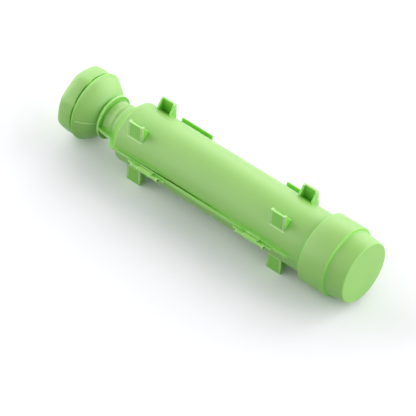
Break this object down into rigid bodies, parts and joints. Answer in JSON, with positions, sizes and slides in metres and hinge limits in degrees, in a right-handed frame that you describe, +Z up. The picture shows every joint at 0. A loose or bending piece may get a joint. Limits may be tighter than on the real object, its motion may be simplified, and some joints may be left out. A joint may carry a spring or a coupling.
{
  "type": "sushi rice mould press",
  "caption": "Green plastic sushi rice press: a hinged tube with feet, a pull-off end cap and a screw knob that drives a piston.",
  "frame": {"origin": "middle of the bounding box on the ground, under the tube", "axes": "+X along the tube's axis towards the end cap, +Z up, the hinge side towards -Y"},
  "size_m": [0.285, 0.0645, 0.059],
  "materials": {
    "green_plastic": "satin"
  },
  "bodies": {
    "lower": {"lower_shell": "green_plastic", "hinge_rod_left": "green_plastic", "hinge_rod_right": "green_plastic", "latch_pin_left": "green_plastic", "latch_pin_right": "green_plastic"},
    "upper": {"upper_shell": "green_plastic"},
    "pusher": {"piston": "green_plastic"},
    "screw": {"push_rod": "green_plastic", "knob_cone": "green_plastic", "knob_wheel": "green_plastic"},
    "cap": {"end_cap": "green_plastic"},
    "latch_l": {"latch_left": "green_plastic"},
    "latch_r": {"latch_right": "green_plastic"}
  },
  "joints": [
    {"name": "shell_open", "type": "hinge", "parent": "lower", "child": "upper", "pos_m": [0, -0.0306, 0.0295], "axis": [1, 0, 0], "range_deg": [0, 180]},
    {"name": "piston_push", "type": "slide", "parent": "lower", "child": "pusher", "axis": [1, 0, 0], "range_m": [-0.1875, 0]},
    {"name": "screw_turn", "type": "hinge", "parent": "pusher", "child": "screw", "pos_m": [0, 0, 0.0295], "axis": [1, 0, 0], "range_deg": [-9001, 0]},
    {"name": "cap_pull", "type": "slide", "parent": "lower", "child": "cap", "axis": [1, 0, 0], "range_m": [0, 0.045]},
    {"name": "latch_left_swing", "type": "hinge", "parent": "lower", "child": "latch_l", "pos_m": [-0.049, 0.0294, 0.0279], "axis": [-1, 0, 0], "range_deg": [-17, 60]},
    {"name": "latch_right_swing", "type": "hinge", "parent": "lower", "child": "latch_r", "pos_m": [0.057, 0.0294, 0.0279], "axis": [-1, 0, 0], "range_deg": [-17, 60]}
  ],
  "couplings": [
    {"joint": "screw_turn", "follows": "piston_push", "rad_per_m": 837.76}
  ]
}
